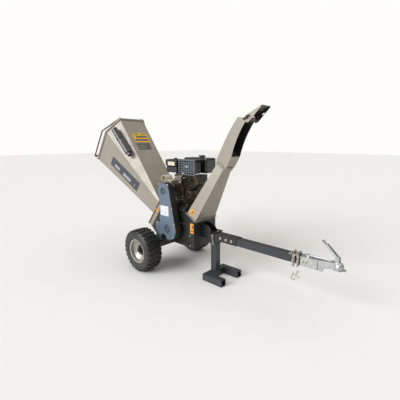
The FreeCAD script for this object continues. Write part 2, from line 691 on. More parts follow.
def deflector_flap():
    """Hinged deflector: a flat plate with two cheeks outside the spout and its pivot bolt."""
    y = FLAP_INNER + SHEET
    plate = box(-4, FLAP_LENGTH, -y, y, FLAP_RISE, FLAP_RISE + SHEET)
    cheek = [(-4, FLAP_RISE + 1), (FLAP_LENGTH, FLAP_RISE + 1), (FLAP_LENGTH, FLAP_RISE - 3), (4, -38), (-20, -34),
             (-24, -6)]
    cheeks = cut(plate_xz(cheek, -y, y), box(-60, FLAP_LENGTH + 1, -FLAP_INNER, FLAP_INNER, -60, FLAP_RISE + 2))
    bolt = cyl_y(0, 0, PIVOT_BOLT, -FLAP_INNER - 26, FLAP_INNER + 6)
    nut = hexagon(8, 6, (0, y, 0), (0, 1, 0))
    slot = box(60, 84, y - 6, y + 1, -8, 0)
    return flap_place(cut(fuse([plate, cheeks, bolt, nut]), slot))


def flap_wing_nut():
    """Wing nut on the pivot bolt that clamps the deflector."""
    y = FLAP_INNER + SHEET + MOVING_GAP
    boss = cyl_y(0, 0, 11, -y - 12, -y)
    wings = [box(-24, 24, -y - 12, -y - 4, -5, 5)]
    wings += [cyl_y(dx, 0, 9, -y - 12, -y - 4) for dx in (-22, 22)]
    return flap_place(cut(fuse([boss] + wings), cyl_y(0, 0, PIVOT_BOLT + RUNNING_GAP, -y - 13, -y + 1)))


# ---------------------------------------------------------------- rotor and belt drive


def rotor_shaft():
    """Shaft through both bearings, stepped down for the pulley, with a key."""
    full = cyl_y(ROTOR_X, ROTOR_Z, SHAFT_DIAMETER / 2, -HOUSING_HALF_WIDTH - BEARING_THICK - 4,
                 HOUSING_HALF_WIDTH + BEARING_THICK + 8)
    nose = cyl_y(ROTOR_X, ROTOR_Z, SHAFT_DIAMETER / 2 - 3, -PULLEY_OUTER, -HOUSING_HALF_WIDTH - BEARING_THICK - 3)
    return fuse([full, nose])


PULLEY_INNER = GUARD_INNER + GUARD_SHEET + 6
PULLEY_OUTER = PULLEY_INNER + PULLEY_WIDTH + 4
KNIFE_COUNT = 2


def rotor_drum():
    """Heavy drum with a pocket for each knife and ejector paddles on its rim."""
    drum = cyl_y(ROTOR_X, ROTOR_Z, ROTOR_RADIUS, -ROTOR_HALF_LENGTH, ROTOR_HALF_LENGTH)
    bore = cyl_y(ROTOR_X, ROTOR_Z, SHAFT_DIAMETER / 2, -ROTOR_HALF_LENGTH - 1, ROTOR_HALF_LENGTH + 1)
    drum = cut(drum, bore)
    for i in range(KNIFE_COUNT):
        pocket = box(ROTOR_RADIUS - 34, ROTOR_RADIUS + 2, -ROTOR_HALF_LENGTH - 1, ROTOR_HALF_LENGTH + 1, -30, 9)
        pocket = cut(pocket, box(0, ROTOR_RADIUS - 12, -ROTOR_HALF_LENGTH - 2, ROTOR_HALF_LENGTH + 2, -40, -14))
        drum = cut(drum, in_frame(pocket, ROTOR_X, ROTOR_Z, 100 + 360 / KNIFE_COUNT * i))
    lightening = [in_frame(cyl_y(62, 0, 24, -ROTOR_HALF_LENGTH - 1, ROTOR_HALF_LENGTH + 1), ROTOR_X, ROTOR_Z, a)
                  for a in (10, 55, 145, 190, 235, 325)]
    return cut(drum, *lightening)


def chipping_knives():
    knives = []
    for i in range(KNIFE_COUNT):
        knife = box(ROTOR_RADIUS - 34, KNIFE_TIP_RADIUS - 1, -ROTOR_HALF_LENGTH + 2, ROTOR_HALF_LENGTH - 2, 0, 9)
        bevel = plate_xz([(KNIFE_TIP_RADIUS - 16, 9.5), (KNIFE_TIP_RADIUS + 1, 9.5), (KNIFE_TIP_RADIUS + 1, 1.5)],
                         -ROTOR_HALF_LENGTH, ROTOR_HALF_LENGTH)
        knives.append(in_frame(cut(knife, bevel), ROTOR_X, ROTOR_Z, 100 + 360 / KNIFE_COUNT * i))
    return group(knives)


GROOVE_Y = (PULLEY_INNER + PULLEY_WIDTH / 2 - BELT_PITCH / 2, PULLEY_INNER + PULLEY_WIDTH / 2 + BELT_PITCH / 2)


def pulley(x, z, radius, bore):
    """Twin-groove V pulley; radius is where the belts' outer faces run."""
    y0 = PULLEY_INNER
    body = cyl_y(x, z, radius + 1, -y0 - PULLEY_WIDTH, -y0)
    grooves = []
    for gy in GROOVE_Y:
        half_top = BELT_TOP / 2 + 0.6
        half_bottom = BELT_TOP / 2 - BELT_HEIGHT * math.tan(math.radians(19)) + 0.4
        low = radius - BELT_HEIGHT - 2
        grooves.append(spin_y([(radius + 2, -gy - half_top), (low, -gy - half_bottom), (low, -gy + half_bottom),
                               (radius + 2, -gy + half_top)], x, z))
    return cut(body, *grooves, cyl_y(x, z, bore, -y0 - PULLEY_WIDTH - 1, -y0 + 1))


def drum_pulley():
    return pulley(ROTOR_X, ROTOR_Z, ROTOR_PULLEY_RADIUS, SHAFT_DIAMETER / 2 - 3)


def crank_pulley():
    return pulley(CRANK_X, CRANK_Z, CRANK_PULLEY_RADIUS, CRANK_DIAMETER / 2)


def drive_belts():
    """Two V belts round both pulleys."""
    dx = ROTOR_X - CRANK_X
    dz = ROTOR_Z - CRANK_Z
    span = math.hypot(dx, dz)
    heading = math.atan2(dz, dx)
    swing = math.acos((CRANK_PULLEY_RADIUS - ROTOR_PULLEY_RADIUS) / span)

    def loop(offset, y0, y1):
        r1 = CRANK_PULLEY_RADIUS - offset
        r2 = ROTOR_PULLEY_RADIUS - offset
        discs = cyl_y(CRANK_X, CRANK_Z, r1, y0, y1).fuse(cyl_y(ROTOR_X, ROTOR_Z, r2, y0, y1))
        corners = []
        for r, x, z, s in ((r1, CRANK_X, CRANK_Z, 1), (r2, ROTOR_X, ROTOR_Z, 1),
                           (r2, ROTOR_X, ROTOR_Z, -1), (r1, CRANK_X, CRANK_Z, -1)):
            a = heading + s * swing
            corners.append((x + r * math.cos(a), z + r * math.sin(a)))
        return discs.fuse(plate_xz(corners, y0, y1))

    belts = []
    half = BELT_TOP / 2 - 3.3
    for gy in GROOVE_Y:
        belts.append(cut(loop(0.0, -gy - half, -gy + half), loop(BELT_HEIGHT, -gy - half - 1, -gy + half + 1)))
    return group(belts)


HEEL_X = 78.0
HEEL_TOP = 478.0
HEEL_BOTTOM = 296.0
ARCH_X = 182.0
ARCH_Z = 328.0
ARCH_RADIUS = 44.0
IDLER_X = 236.6
IDLER_Z = 607.0
IDLER_RADIUS = 22.0


def idler_pulley():
    """Flat idler that runs on the inside of the belts' slack side."""
    wheel = cyl_y(IDLER_X, IDLER_Z, IDLER_RADIUS, -PULLEY_INNER - PULLEY_WIDTH, -PULLEY_INNER)
    return cut(wheel, cyl_y(IDLER_X, IDLER_Z, 8 + RUNNING_GAP, -PULLEY_INNER - PULLEY_WIDTH - 1, -PULLEY_INNER + 1))


def idler_arm():
    """Slotted arm and spindle that hold the tension idler on the guard's back plate."""
    face = -GUARD_INNER - GUARD_SHEET
    spindle = cyl_y(IDLER_X, IDLER_Z, 8, -PULLEY_INNER - PULLEY_WIDTH - 3, face)
    arm = box(IDLER_X - 16, IDLER_X + 16, face - 5, face + 1, IDLER_Z - 20, IDLER_Z + 60)
    slot = box(IDLER_X - 5, IDLER_X + 5, face - 6, face, IDLER_Z + 25, IDLER_Z + 50)
    return fuse([cut(arm, slot), spindle])


def guard_blank(inset, y_near, y_far):
    """Solid belt guard: two rounded ends, waisted flanks, and a square heel with an arch beside it."""
    y0 = -y_far
    y1 = -y_near
    top_x = CRANK_X + 5
    top_z = CRANK_Z - 5
    low_x = ROTOR_X + 8
    low_z = ROTOR_Z + 3
    top_r = GUARD_TOP_RADIUS - inset
    low_r = GUARD_BOTTOM_RADIUS - inset
    waist_x = CRANK_X - CRANK_PULLEY_RADIUS - GUARD_SHEET - 5 + inset
    waist_z = (top_z + low_z) / 2 + 30
    flanks = plate_xz([(top_x - top_r, top_z - 8), (top_x + top_r, top_z), (low_x + low_r, low_z),
                       (low_x - low_r - 6, low_z), (low_x - low_r - 6, low_z + 60), (waist_x, waist_z)], y0, y1)
    heel = box(HEEL_X + inset, low_x, y0, y1, HEEL_BOTTOM + inset, HEEL_TOP - inset)
    blank = fuse([cyl_y(top_x, top_z, top_r, y0, y1), cyl_y(low_x, low_z, low_r, y0, y1), flanks, heel])
    arch = cyl_y(ARCH_X, ARCH_Z, ARCH_RADIUS + inset, y0 - 1, y1 + 1)
    below_arch = box(ARCH_X - ARCH_RADIUS - inset, ARCH_X + ARCH_RADIUS + inset, y0 - 1, y1 + 1, HEEL_BOTTOM - 1, ARCH_Z)
    below = box(ARCH_X, low_x + 1, y0 - 1, y1 + 1, HEEL_BOTTOM - 1, low_z - low_r + 6)
    under_circle = cut(below, cyl_y(low_x, low_z, low_r, y0 - 2, y1 + 2))
    return cut(blank, arch, below_arch, under_circle)


def belt_guard_box():
    """Back plate and side wall of the belt guard."""
    outer = guard_blank(0, GUARD_INNER, GUARD_OUTER - GUARD_SHEET)
    inner = guard_blank(GUARD_SHEET, GUARD_INNER + GUARD_SHEET, GUARD_OUTER)
    shaft_hole = cyl_y(ROTOR_X, ROTOR_Z, SHAFT_DIAMETER / 2 + 4, -GUARD_OUTER, -GUARD_INNER + 1)
    crank_hole = cyl_y(CRANK_X, CRANK_Z, CRANK_DIAMETER / 2 + 12, -GUARD_OUTER, -GUARD_INNER + 1)
    return cut(outer, inner, shaft_hole, crank_hole).fuse(idler_arm()).removeSplitter()


VENTS = ((CRANK_X, CRANK_Z, 33.0), (ROTOR_X, ROTOR_Z, 40.0))
VENT_PITCH = 12.0


def belt_guard_cover():
    """Flat cover with two round slotted vents, one at each pulley."""
    cover = guard_blank(0, GUARD_OUTER - GUARD_SHEET, GUARD_OUTER)
    slots = []
    for x, z, radius in VENTS:
        rows = int(radius / VENT_PITCH)
        for i in range(-rows, rows + 1):
            half = math.sqrt(radius ** 2 - (i * VENT_PITCH) ** 2) + 3
            height = z + i * VENT_PITCH
            slots.append(box(x - half, x + half, -GUARD_OUTER - 1, -GUARD_OUTER + 10, height - 3.5, height + 3.5))
    return cut(cover, *slots)


def bearing_units():
    """Square-flanged bearing housings outside both side plates, each with four bolts."""
    units = []
    y0 = HOUSING_HALF_WIDTH
    flange = box(ROTOR_X - BEARING_HALF, ROTOR_X + BEARING_HALF, y0, y0 + 12,
                 ROTOR_Z - BEARING_HALF, ROTOR_Z + BEARING_HALF)
    boss = cyl_y(ROTOR_X, ROTOR_Z, 42, y0, y0 + BEARING_THICK - 1)
    bolts = []
    for dx in (-BEARING_BOLT, BEARING_BOLT):
        for dz in (-BEARING_BOLT, BEARING_BOLT):
            bolts.append(hexagon(10, 8, (ROTOR_X + dx, y0 + 12, ROTOR_Z + dz), (0, 1, 0)))
            bolts.append(cyl_y(ROTOR_X + dx, ROTOR_Z + dz, 6, INNER_Y, y0 + 1))
    unit = cut(fuse([flange, boss] + bolts),
               cyl_y(ROTOR_X, ROTOR_Z, SHAFT_DIAMETER / 2 + RUNNING_GAP, y0 - 1, y0 + 60))
    units.append(unit)
    units.append(mirror_y(unit))
    return group(units)


# ---------------------------------------------------------------- stand, tow bar and coupling
BAR_HALF = BAR_SECTION / 2
BAR_MID_Z = BAR_BOTTOM + BAR_HALF
SLEEVE_HALF = BAR_HALF + MOVING_GAP + SLEEVE_WALL
CAP_HALF = 65.0
CAP_PLATE = 8.0
CLIP_Y = -SLEEVE_HALF - 12.0
PIN_REACH = SLEEVE_HALF + 16.0


def stand_sleeve():
    """Square guide for the stand post, its cap plate, gussets and the box that ties it to the housing."""
    h = SLEEVE_HALF
    inner = BAR_HALF + MOVING_GAP
    sleeve = box(POST_X - h, POST_X + h, -h, h, SLEEVE_BOTTOM, SLEEVE_TOP)
    cap = box(POST_X - h, POST_X + h, -CAP_HALF, CAP_HALF, SLEEVE_TOP, SLEEVE_TOP + CAP_PLATE)
    tie = box(HOUSING_FRONT, POST_X - h, -h, h, BAR_BOTTOM - 4, SLEEVE_TOP)
    tie_hollow = box(HOUSING_FRONT - 1, POST_X - h + 1, -h + SLEEVE_WALL, h - SLEEVE_WALL, BAR_BOTTOM, SLEEVE_TOP - 4)
    ribs = []
    for y in (-h - 6, h):
        ribs.append(plate_xz([(HOUSING_FRONT, SLEEVE_TOP - 40), (HOUSING_FRONT, 490), (560, 478), (594, 450),
                              (604, SLEEVE_TOP), (604, SLEEVE_TOP - 40)], y, y + 6))
    top = SLEEVE_TOP + CAP_PLATE + 1
    bore = box(POST_X - inner, POST_X + inner, -inner, inner, SLEEVE_BOTTOM - 1, top)
    slot = STAND_PIN_RADIUS + MOVING_GAP
    notch = box(POST_X - slot, POST_X + slot, -PIN_REACH - 4, PIN_REACH, STAND_PIN_Z - slot, top)
    clip_notch = box(POST_X - 12, POST_X + 28, -CAP_HALF - 1, CLIP_Y + 5, SLEEVE_TOP - 1, top)
    return cut(fuse([cut(tie, tie_hollow), sleeve, cap] + ribs), bore, notch, clip_notch)


def tow_receiver():
    """Channel of two side plates and a top plate that takes the tow bar, with three bolt holes."""
    x0 = POST_X + SLEEVE_HALF
    side = 5.0
    pieces = [box(x0, RECEIVER_FRONT, -BAR_HALF - side, -BAR_HALF, BAR_BOTTOM - 3, BAR_BOTTOM + BAR_SECTION + 4),
              box(x0, RECEIVER_FRONT, BAR_HALF, BAR_HALF + side, BAR_BOTTOM - 3, BAR_BOTTOM + BAR_SECTION + 4),
              box(x0, RECEIVER_FRONT + 12, -BAR_HALF - side, BAR_HALF + side, BAR_BOTTOM + BAR_SECTION,
                  BAR_BOTTOM + BAR_SECTION + 4)]
    holes = [cyl_y(x, BAR_MID_Z, 6.2, -50, 50) for x in TOW_BOLT_X]
    return cut(fuse(pieces), *holes)


def tow_bar():
    """Square tube from the receiver to the coupling."""
    inner = BAR_HALF - BAR_WALL
    x0 = POST_X + SLEEVE_HALF + 1
    tube = cut(box(x0, BAR_END, -BAR_HALF, BAR_HALF, BAR_BOTTOM, BAR_BOTTOM + BAR_SECTION),
               box(x0 - 1, BAR_END + 1, -inner, inner, BAR_BOTTOM + BAR_WALL, BAR_BOTTOM + BAR_SECTION - BAR_WALL))
    holes = [cyl_y(x, BAR_MID_Z, 6.2, -50, 50) for x in TOW_BOLT_X]
    holes += [cyl_y(x, BAR_MID_Z, 6.2, -50, 50) for x in COUPLING_BOLT_X]
    return cut(tube, *holes)


COUPLING_REAR = BAR_END - 50.0
COUPLING_SIDE = 4.0
COUPLING_BOLT_X = (BAR_END - 34.0, BAR_END - 12.0)


def tow_bolts():
    """Through bolts with nuts and washers: three in the receiver and two in the coupling."""
    bolts = []
    for x, half in [(x, BAR_HALF + 5) for x in TOW_BOLT_X] + [(x, BAR_HALF + COUPLING_SIDE) for x in COUPLING_BOLT_X]:
        shank = cyl_y(x, BAR_MID_Z, 6, -half - 1, half + 12)
        washer = cyl_y(x, BAR_MID_Z, 12, -half - 2.5, -half)
        head = hexagon(10.5, 7.5, (x, -half - 2.5, BAR_MID_Z), (0, -1, 0))
        nut = hexagon(10.5, 9, (x, half, BAR_MID_Z), (0, 1, 0))
        bolts.append(fuse([shank, washer, head, nut]))
    return group(bolts)


def stand_leg():
    """Square post on a U-shaped foot whose two prongs point forwards."""
    inner = BAR_HALF - BAR_WALL
    post_top = SLEEVE_TOP - 1
    post = cut(box(POST_X - BAR_HALF, POST_X + BAR_HALF, -BAR_HALF, BAR_HALF, BAR_SECTION, post_top),
               box(POST_X - inner, POST_X + inner, -inner, inner, BAR_SECTION - 1, post_top - 4))
    rear = POST_X - BAR_HALF
    cross = cut(box(rear, rear + BAR_SECTION, -FOOT_HALF_WIDTH + BAR_SECTION, FOOT_HALF_WIDTH - BAR_SECTION,
                    0, BAR_SECTION),
                box(rear + BAR_WALL, rear + BAR_SECTION - BAR_WALL, -FOOT_HALF_WIDTH, FOOT_HALF_WIDTH,
                    BAR_WALL, BAR_SECTION - BAR_WALL))
    prongs = []
    for y0 in (-FOOT_HALF_WIDTH, FOOT_HALF_WIDTH - BAR_SECTION):
        prongs.append(cut(box(rear, rear + FOOT_LENGTH, y0, y0 + BAR_SECTION, 0, BAR_SECTION),
                          box(rear - 1, rear + FOOT_LENGTH + 1, y0 + BAR_WALL, y0 + BAR_SECTION - BAR_WALL,
                              BAR_WALL, BAR_SECTION - BAR_WALL)))
    hole = cyl_y(POST_X, STAND_PIN_Z, STAND_PIN_RADIUS + 0.3, -60, 60)
    return cut(fuse([post, cross] + prongs), hole)


def stand_pin():
    """Retaining pin through the post, with the spring clip that hangs from its near end."""
    x = POST_X
    z = STAND_PIN_Z
    pin = cyl_y(x, z, STAND_PIN_RADIUS, -PIN_REACH - 2, PIN_REACH - 2)
    straight = round_bar([(x - 3, CLIP_Y, z + 14), (x - 1, CLIP_Y, z - 30), (x + 4, CLIP_Y, z - 62)], 2.2)
    wave = round_bar([(x + 9, CLIP_Y, z + 12), (x + 12, CLIP_Y, z - 4), (x + 6, CLIP_Y, z - 22),
                      (x + 13, CLIP_Y, z - 42), (x + 4, CLIP_Y, z - 62)], 2.2)
    ring = Part.makeTorus(9, 2.2, V(x + 10, CLIP_Y, z - 70), Y_AXIS)
    return fuse([pin, straight, wave, ring])


def coupling_body():
    """Pressed 50 mm ball coupling: a channel over the bar, a neck and the ball socket."""
    s = COUPLING_SIDE
    z0 = BAR_BOTTOM - s
    z1 = BAR_BOTTOM + BAR_SECTION + s
    channel = cut(box(COUPLING_REAR, BAR_END + 70, -BAR_HALF - s, BAR_HALF + s, z0, z1),
                  box(COUPLING_REAR - 1, BAR_END + 66, -BAR_HALF, BAR_HALF, BAR_BOTTOM, BAR_BOTTOM + BAR_SECTION))
    neck_outline = [(BAR_END + 66, z0 + 10), (BAR_END + 66, z1), (BALL_X - 20, z1 + 12), (BALL_X + 5, z1 + 8),
                    (BALL_X + 5, BALL_Z - 18), (BALL_X - 40, BALL_Z - 18)]
    neck = plate_xz(neck_outline, -26, 26)
    outer = BALL_DIAMETER / 2 + SOCKET_WALL
    socket = fuse([cyl_z(BALL_X, 0, outer, BALL_Z - 18, BALL_Z), Part.makeSphere(outer + 1, V(BALL_X, 0, BALL_Z + 1))])
    socket = cut(socket, box(BALL_X - 60, BALL_X + 60, -60, 60, BALL_Z - 80, BALL_Z - 18))
    lip = fuse([cyl_z(BALL_X, 0, outer + 5, BALL_Z - 18, BALL_Z - 13),
                box(BALL_X, BALL_X + outer + 14, -16, 16, BALL_Z - 18, BALL_Z - 13)])
    cavity = fuse([Part.makeSphere(BALL_DIAMETER / 2 + 0.4, V(BALL_X, 0, BALL_Z)),
                   cyl_z(BALL_X, 0, BALL_DIAMETER / 2 + 0.4, BALL_Z - 60, BALL_Z)])
    ears = [box(LEVER_X - 14, LEVER_X + 12, y, y + 4, z1 + 4, LEVER_Z + 10) for y in (-19, 15)]
    holes = [cyl_y(x, BAR_MID_Z, 6.2, -50, 50) for x in COUPLING_BOLT_X]
    pivot = cyl_y(LEVER_X, LEVER_Z, 5.0 + RUNNING_GAP, -30, 30)
    foot = box(BAR_END + 30, BAR_END + 100, -14, 14, z0 - 8, z0 + 12)
    foot_nut = hexagon(10, 8, (BAR_END + 88, 0, z0 - 8), (0, 0, -1))
    damper = cyl_x(0, z1 + 12, 6, BAR_END - 12, BAR_END + 78)
    damper_rod = cyl_x(0, z1 + 12, 3.5, BAR_END + 78, BALL_X - 40)
    clevis = box(BAR_END - 16, BAR_END + 2, -8, 8, z1, z1 + 20)
    pieces = [channel, neck, socket, lip, foot, foot_nut, damper, damper_rod, clevis]
    return cut(fuse(pieces + ears), cavity, pivot, *holes)




def coupling_lever():
    """Locking lever on the coupling, with its eye at the free end, standing half open."""
    pin = cyl_y(0, 0, 5.0, -22, 22)
    web = box(-LEVER_LENGTH, 12, -12, 12, -3, 3)
    flanges = [box(-LEVER_LENGTH + 24, 8, y, y + 3, -3, 11) for y in (-14, 11)]
    eye = cut(cyl_z(-LEVER_LENGTH, 0, 15, -3, 3), cyl_z(-LEVER_LENGTH, 0, 7, -4, 4))
    boss = cyl_y(0, 0, 9, -14, 14)
    return in_frame(fuse([pin, cut(web, cyl_z(-LEVER_LENGTH, 0, 7, -4, 4)), eye, boss] + flanges),
                    LEVER_X, LEVER_Z, LEVER_REST)


LINK_PITCH = 19.0
LINK_WIRE = 2.8


def chain_link():
    """One welded oval link along X, lying flat in XY."""
    half = LINK_PITCH / 2
    r = 7.0
    ends = []
    for s in (-1, 1):
        torus = Part.makeTorus(r, LINK_WIRE, V(s * half / 1.6, 0, 0), V(0, 0, 1))
        keep = box(s * half / 1.6 if s > 0 else -60, 60 if s > 0 else -half / 1.6, -30, 30, -10, 10)
        ends.append(torus.common(keep))
    sides = [rod((-half / 1.6, y, 0), (half / 1.6, y, 0), LINK_WIRE) for y in (-r, r)]
    return fuse(ends + sides)


def chain_along(points):
    """Links laid along a path of points, each turned a quarter from the last."""
    link = chain_link()
    links = []
    carry = 0.0
    count = 0
    for a, b in zip(points, points[1:]):
        start = V(*a)
        run = V(*b) - start
        length = run.Length
        step = run / length
        t = carry
        while t < length:
            turn = FreeCAD.Rotation(V(1, 0, 0), step).multiply(FreeCAD.Rotation(V(1, 0, 0), 90 * (count % 2) + 20))
            piece = link.copy()
            piece.Placement = FreeCAD.Placement(start + step * t, turn)
            links.append(piece)
            t += LINK_PITCH
            count += 1
        carry = t - length
    return links


def wrap_path(x0, x1, turns, hang):
    """A path that winds round the bar and then hangs down on the near side."""
    reach = BAR_HALF + 12
    low = BAR_BOTTOM - 12
    high = BAR_BOTTOM + BAR_SECTION + 12
    corners = [(-reach, high), (reach, high), (reach, low), (-reach, low)]
    points = []
    total = 4 * turns + 1
    for i in range(total):
        y, z = corners[i % 4]
        points.append((x0 + (x1 - x0) * i / (total - 1), y, z))
    x, y, z = points[-1]
    return points + [(x + 2, y - 1, z - hang)]


def safety_chains():
    """Two chains wound round the bar behind the coupling, each ending in a hook."""
    links = chain_along(wrap_path(BAR_END - 122, BAR_END - 98, 1, 88))
    links += chain_along(wrap_path(BAR_END - 82, BAR_END - 64, 1, 60))
    hooks = []
    for x, z in ((BAR_END - 94.0, BAR_BOTTOM - 62), (BAR_END - 60.0, BAR_BOTTOM - 34)):
        y = -BAR_HALF - 12
        bow = Part.makeTorus(13, 4, V(x, y, z - 52), V(0, 1, 0))
        bow = cut(bow, box(x, x + 30, y - 10, y + 10, z - 52, z - 30))
        hooks.append(fuse([bow, rod((x - 13, y, z - 52), (x, y, z - 22), 4), Part.makeTorus(7, 3, V(x, y, z - 18), Y_AXIS)]))
    return group(links + hooks)


# ---------------------------------------------------------------- engine
ENGINE_NEAR = -96.0
ENGINE_FAR = 108.0


def engine_block():
    """Crankcase with sump and mounting feet, drive-side cover and the finned cylinder."""
    sump = box(112, 318, ENGINE_NEAR, ENGINE_FAR, DECK_TOP, ENGINE_SUMP_TOP)
    case = plate_xz([(118, ENGINE_SUMP_TOP), (300, ENGINE_SUMP_TOP), (300, 790), (262, 868), (150, 868), (112, 800)],
                    ENGINE_NEAR + 8, ENGINE_FAR)
    cover = cyl_y(CRANK_X, CRANK_Z, 74, ENGINE_NEAR - 8, ENGINE_NEAR + 8)
    bolts = []
    for i in range(8):
        a = math.radians(22.5 + 45 * i)
        bolts.append(hexagon(6, 5, (CRANK_X + 66 * math.cos(a), ENGINE_NEAR - 8, CRANK_Z + 66 * math.sin(a)), (0, -1, 0)))
    barrel = box(-20, 96, -48, 48, -46, 46)
    fins = [box(16 + 12 * i, 20 + 12 * i, -66, 66, -62, 62) for i in range(7)]
    cylinder = in_frame(fuse([barrel] + fins), 282, 815, -25)
    body = fuse([sump, case, cover, cylinder, switch_box()] + bolts)
    crank_bore = cyl_y(CRANK_X, CRANK_Z, CRANK_DIAMETER / 2 + RUNNING_GAP, ENGINE_NEAR - 30, ENGINE_FAR + 1)
    dip_bore = cyl_y(DIPSTICK_X, DIPSTICK_Z, 9 + RUNNING_GAP, ENGINE_NEAR - 1, ENGINE_NEAR + 12)
    return cut(body, crank_bore, dip_bore)


DIPSTICK_X = 292.0
DIPSTICK_Z = 672.0
CRANK_INNER = 205.0


def cylinder_head():
    """Finned head with rocker cover and spark plug at the end of the cylinder."""
    head = [box(96, 130, -56, 56, -52, 52)]
    head += [box(100 + 10 * i, 103 + 10 * i, -66, 66, -60, 60) for i in range(3)]
    cover = box(130, 166, -46, 46, -44, 44)
    cover_rim = box(130, 136, -52, 52, -50, 50)
    plug = rod((118, -56, 10), (118, -92, 22), 8)
    return in_frame(fuse(head + [cover, cover_rim, plug]), 282, 815, -25)


def crankshaft():
    return cyl_y(CRANK_X, CRANK_Z, CRANK_DIAMETER / 2, -PULLEY_INNER - PULLEY_WIDTH - 6, CRANK_INNER)


def fuel_tank():
    """Pressed steel tank on two feet, with a recessed filler neck."""
    body = box(150, 455, 62, 205, TANK_BOTTOM, TANK_TOP)
    hollow = box(150 + TANK_SHEET, 455 - TANK_SHEET, 62 + TANK_SHEET, 205 - TANK_SHEET,
                 TANK_BOTTOM + TANK_SHEET, TANK_TOP - TANK_SHEET)
    rounded = body.makeFillet(18, body.Edges).cut(hollow.makeFillet(18 - TANK_SHEET, hollow.Edges))
    seam = box(144, 461, 56, 211, 985, 989)
    neck = cyl_z(FUEL_CAP_X, FUEL_CAP_Y, 26, TANK_TOP - 4, TANK_TOP + 8)
    feet = [box(x, x + 30, 66, 104, 868, TANK_BOTTOM + 4) for x in (158, 228)]
    return cut(fuse([rounded, seam, neck] + feet), cyl_z(FUEL_CAP_X, FUEL_CAP_Y, 18, TANK_TOP - 30, TANK_TOP + 9))


TANK_SHEET = 3.0
FUEL_CAP_X = 330.0
FUEL_CAP_Y = 140.0


def fuel_cap():
    """Ribbed filler cap with a spigot that sits in the tank neck."""
    z = TANK_TOP + 8 + MOVING_GAP
    cap = cyl_z(FUEL_CAP_X, FUEL_CAP_Y, 31, z, z + 13)
    ribs = []
    for i in range(12):
        a = math.radians(30 * i)
        ribs.append(cyl_z(FUEL_CAP_X + 31 * math.cos(a), FUEL_CAP_Y + 31 * math.sin(a), 2.5, z, z + 13))
    spigot = cyl_z(FUEL_CAP_X, FUEL_CAP_Y, 17.5, z - 20, z + 1)
    return fuse([cap, spigot] + ribs)


def air_cleaner():
    """Air cleaner: base pan, cover with a step, clamp knob."""
    base = box(44, 196, GUARD_GRILLE_Y + 4, 52, 930, 990)
    base = base.makeFillet(12, base.Edges)
    cover = box(38, 198, GUARD_GRILLE_Y - 4, 58, 990, 1056)
    cover = cover.makeFillet(14, cover.Edges)
    knob = cyl_z(116, -8, 14, 1050, 1068)
    elbow = box(150, 190, -40, 6, 918, 936)
    return fuse([base, cover, knob, elbow])


def carburettor():
    """Carburettor with float bowl and the control plate, between the air cleaner and the cylinder head."""
    body = box(150, 236, -52, 8, 888, 918)
    bowl = cyl_z(208, -28, 20, 870, 914)
    plate = box(196, 270, CONTROL_Y, CONTROL_Y + 5, 872, 916)
    bracket = box(204, 214, CONTROL_Y + 4, -26, 900, 912)
    return fuse([body, bowl, plate, bracket])


CONTROL_Y = -100.0
THROTTLE_X = 252.0
THROTTLE_Z = 894.0


def throttle_lever():
    """Engine speed lever with a round knob, on the control plate."""
    y1 = CONTROL_Y - MOVING_GAP
    y0 = y1 - 3
    arm = box(THROTTLE_X - 5, THROTTLE_X + 5, y0, y1, THROTTLE_Z - 46, THROTTLE_Z)
    boss = cyl_y(THROTTLE_X, THROTTLE_Z, 9, y0 - 4, y1)
    knob = cyl_y(THROTTLE_X, THROTTLE_Z - 48, 9, y0 - 16, y1)
    return fuse([arm, boss, knob])


def muffler():
    """Muffler can with its inlet and the tail pipe that turns towards the belt side."""
    can = box(244, 414, -58, 44, 930, 1046)
    can = can.makeFillet(20, can.Edges)
    inlet = box(298, 340, -40, 30, 910, 934)
    return fuse([can, inlet])


def exhaust_shield():
    """Pale heat shield that bridges from the muffler to the top of the belt guard."""
    path = [(150, 868), (186, 872), (236, 868), (290, 888), (318, 918)]
    blade = plate_xz(path + [(x, z + 4) for x, z in reversed(path)], -196, -110)
    cup = cut(cyl_y(158, 884, 34, -200, -116), cyl_y(158, 884, 30, -201, -120), box(100, 220, -210, -100, 830, 866))
    stem = box(276, 284, -116, -97, 846, 889)
    return fuse([blade, cup, stem])


def muffler_guard():
    """Slotted guard in front of and around the muffler."""
    y = GUARD_GRILLE_Y
    front = box(224, 433, y, y + 2.5, 918, 1062)
    top = box(224, 433, y, 50, 1059.5, 1062)
    left = box(224, 226.5, y, 50, 918, 1062)
    right = box(430.5, 433, y, 50, 918, 1062)
    slots = []
    for row in range(6):
        for col in range(4):
            x = 238 + 48 * col
            z = 934 + 20 * row
            if row in (2, 3) and col in (1, 2):
                continue
            slots.append(box(x, x + 38, y - 1, y + 4, z, z + 8))
    top_slots = [box(238 + 26 * i, 250 + 26 * i, y + 14, 36, 1058, 1064) for i in range(7)]
    return cut(fuse([front, top, left, right]), *slots, *top_slots)


